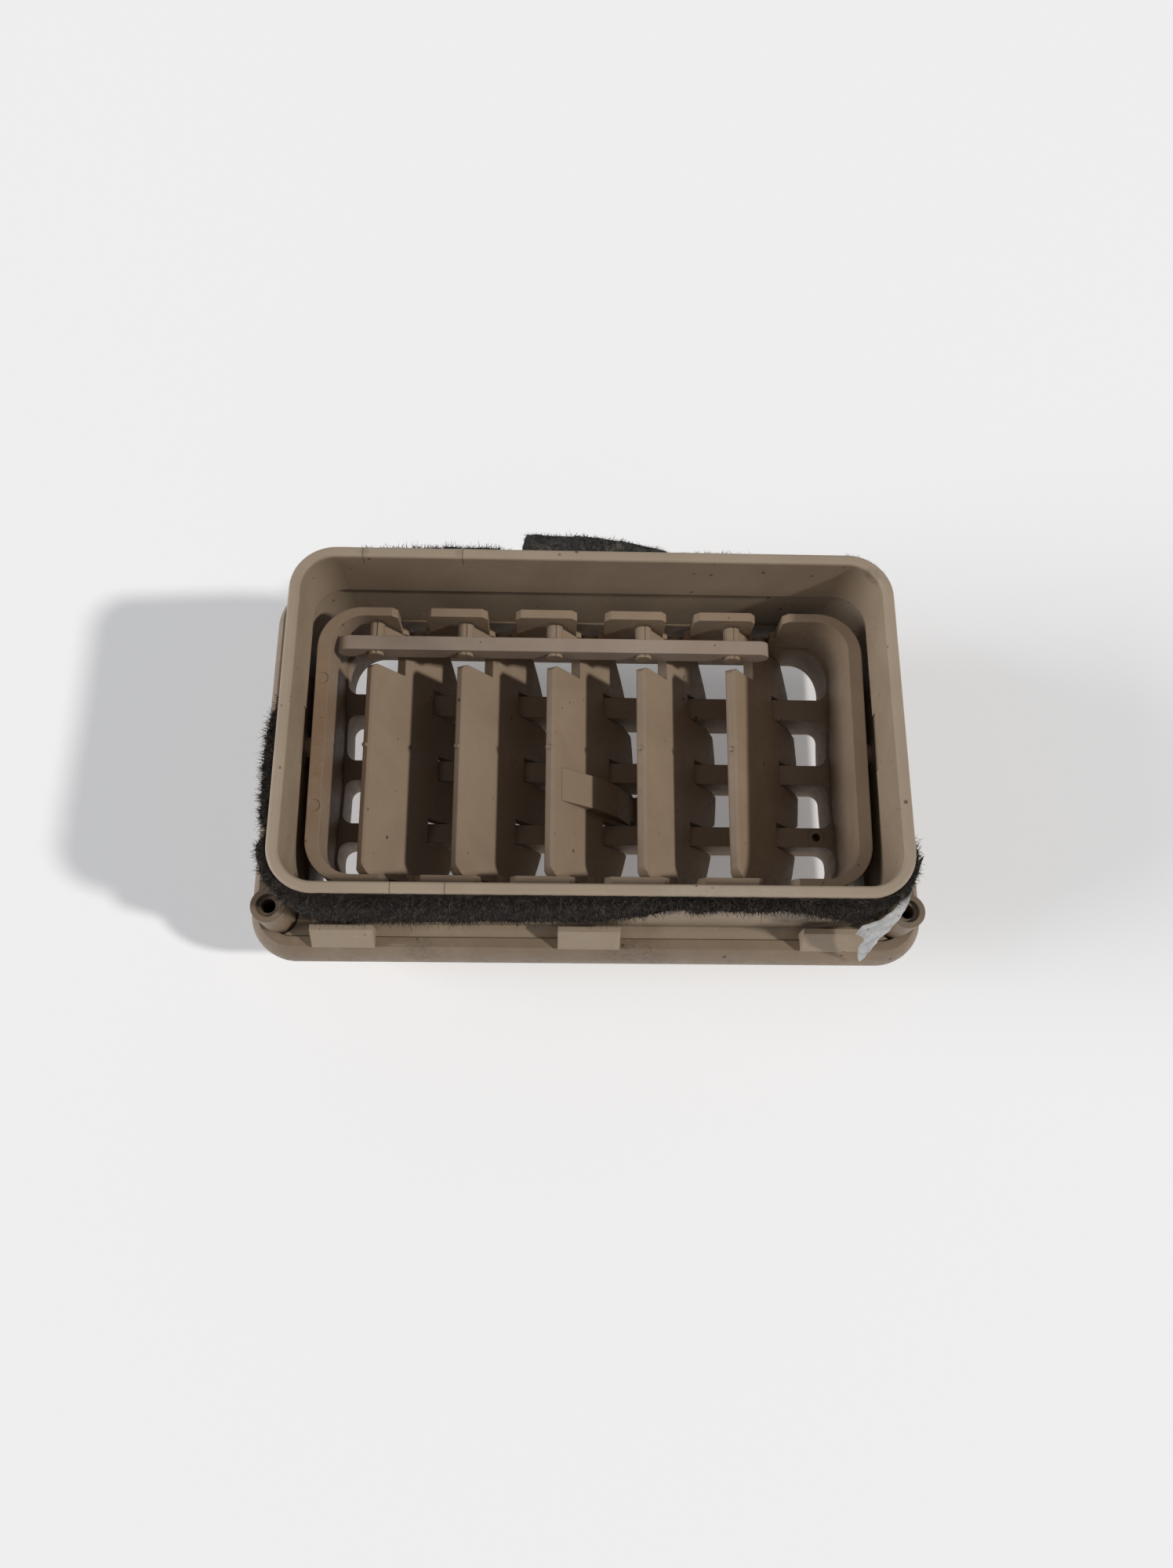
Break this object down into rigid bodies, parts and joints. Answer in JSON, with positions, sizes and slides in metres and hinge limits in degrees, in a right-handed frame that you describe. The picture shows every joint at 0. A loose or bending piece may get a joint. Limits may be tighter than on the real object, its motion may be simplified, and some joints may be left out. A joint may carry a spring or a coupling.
{
  "type": "air vent",
  "caption": "Rectangular tan plastic dashboard air vent with a rear duct collar, a tilting grille and linked swinging vanes.",
  "frame": {"origin": "middle of the bounding box's base, on the plane that the lowest point of the finger knob touches", "axes": "+X along the vent's long side, +Z out of the duct mouth (rear), so the front face points to -Z"},
  "size_m": [0.155, 0.0938, 0.0589],
  "materials": {
    "tan_housing": "matt, fine moulded grain",
    "tan_bezel": "matt, fine moulded grain",
    "tan_frame": "matt, fine moulded grain",
    "tan_vane": "matt, fine moulded grain",
    "pink_grey_link": "matt, fine moulded grain",
    "pale_bush": "matt, fine moulded grain",
    "tan_knob": "matt, fine moulded grain",
    "grey_felt": "torn, dusty fibres",
    "grey_foam": "torn, dusty fibres",
    "white_tape": "matt, fine moulded grain"
  },
  "bodies": {
    "housing": {"duct_housing": "tan_housing", "bezel": "tan_bezel", "pivot_bush_left": "pale_bush", "pivot_bush_right": "pale_bush", "seal_near": "grey_felt", "seal_left": "grey_felt", "seal_right": "grey_felt", "seal_far_felt": "grey_felt", "seal_far_foam": "grey_foam"},
    "grille_frame": {"tilt_frame": "tan_frame"},
    "vane_1": {"vane_1": "tan_vane"},
    "vane_2": {"vane_2": "tan_vane"},
    "vane_3": {"vane_3": "tan_vane", "finger_knob": "tan_knob"},
    "vane_4": {"vane_4": "tan_vane"},
    "vane_5": {"vane_5": "tan_vane"},
    "tie_bar": {"tie_bar": "pink_grey_link"}
  },
  "joints": [
    {"name": "frame_tilt", "type": "hinge", "parent": "housing", "child": "grille_frame", "pos_m": [0, 0, 0.0354], "axis": [1, 0, 0], "range_deg": [-18.4, 11.6]},
    {"name": "vane_1_swing", "type": "hinge", "parent": "grille_frame", "child": "vane_1", "pos_m": [-0.0419, 0.00065, 0.02442], "axis": [0, 0.9982, 0.0593], "range_deg": [0, 67.6]},
    {"name": "vane_2_swing", "type": "hinge", "parent": "grille_frame", "child": "vane_2", "pos_m": [-0.02095, 0.00065, 0.02442], "axis": [0, 0.9982, 0.0593], "range_deg": [0, 67.6]},
    {"name": "vane_3_swing", "type": "hinge", "parent": "grille_frame", "child": "vane_3", "pos_m": [0, 0.00065, 0.02442], "axis": [0, 0.9982, 0.0593], "range_deg": [0, 67.6]},
    {"name": "vane_4_swing", "type": "hinge", "parent": "grille_frame", "child": "vane_4", "pos_m": [0.02095, 0.00065, 0.02442], "axis": [0, 0.9982, 0.0593], "range_deg": [0, 67.6]},
    {"name": "vane_5_swing", "type": "hinge", "parent": "grille_frame", "child": "vane_5", "pos_m": [0.0419, 0.00065, 0.02442], "axis": [0, 0.9982, 0.0593], "range_deg": [0, 67.6]},
    {"name": "tie_bar_pivot", "type": "hinge", "parent": "vane_3", "child": "tie_bar", "pos_m": [-0.00851, 0.02436, 0.03857], "axis": [0, 0.9982, 0.0593], "range_deg": [-67.6, 0]}
  ],
  "couplings": [
    {"joint": "vane_1_swing", "follows": "vane_3_swing", "ratio": 1},
    {"joint": "vane_2_swing", "follows": "vane_3_swing", "ratio": 1},
    {"joint": "vane_4_swing", "follows": "vane_3_swing", "ratio": 1},
    {"joint": "vane_5_swing", "follows": "vane_3_swing", "ratio": 1},
    {"joint": "tie_bar_pivot", "follows": "vane_3_swing", "ratio": -1}
  ]
}
